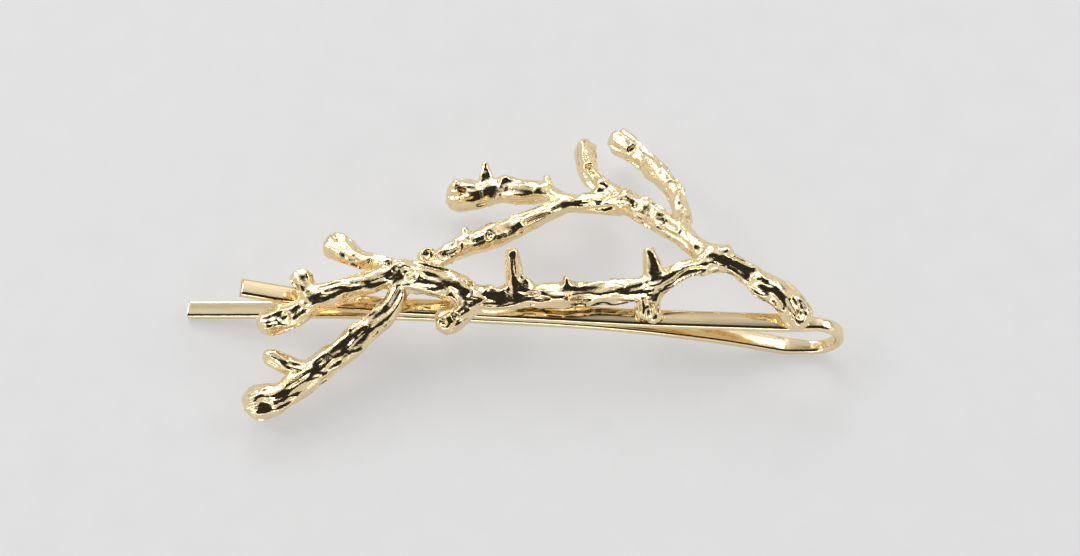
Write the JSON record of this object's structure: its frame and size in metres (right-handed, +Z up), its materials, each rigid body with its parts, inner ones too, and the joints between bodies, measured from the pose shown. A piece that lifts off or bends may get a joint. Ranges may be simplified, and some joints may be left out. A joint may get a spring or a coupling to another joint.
{
  "type": "hair clip",
  "caption": "Slim spring-wire hair clip: a flat wire folded into two legs, with a cast twig ornament soldered on top.",
  "frame": {"origin": "centre of the bounding box, at the height of the surface the clip rests on", "axes": "+X along the wire from the leg tips to the bend, +Z up, away from the surface it rests on, +Y across the wire, towards the branch's tall side"},
  "size_m": [0.0702, 0.0372, 0.0111],
  "materials": {
    "wire_gold": "polished pale gold plating",
    "branch_gold": "polished pale gold plating on a rough cast surface",
    "solder_gold": "polished pale gold plating over solder"
  },
  "bodies": {
    "lower": {"lower_leg": "wire_gold"},
    "upper": {"upper_leg": "wire_gold", "spring_bend": "wire_gold", "left_solder": "solder_gold", "middle_solder": "solder_gold", "right_solder": "solder_gold", "back_left_twig": "branch_gold", "cup_bud": "branch_gold", "front_arch": "branch_gold", "front_left_twig": "branch_gold", "front_side_twig": "branch_gold", "left_lower_prong": "branch_gold", "left_twig": "branch_gold", "left_upper_prong": "branch_gold", "loop_bud": "branch_gold", "loop_left": "branch_gold", "loop_top": "branch_gold", "low_knob": "branch_gold", "middle_foot": "branch_gold", "middle_thorn": "branch_gold", "neck": "branch_gold", "right_branch": "branch_gold", "right_foot_twig": "branch_gold", "small_thorn": "branch_gold", "spine_bud": "branch_gold", "spine_left": "branch_gold", "spine_right": "branch_gold", "tall_thorn": "branch_gold", "top_right_twig": "branch_gold", "up_twig": "branch_gold", "upper_left_twig": "branch_gold", "upper_thorn": "branch_gold"}
  },
  "joints": [
    {"name": "clip_open", "type": "hinge", "parent": "lower", "child": "upper", "pos_m": [0.03267, -0.00541, 0.00345], "axis": [0, 1, 0], "range_deg": [0, 12], "stiffness_Nm_per_rad": 0.4, "springref_deg": -11.46, "deforming": ["spring_bend"]}
  ]
}
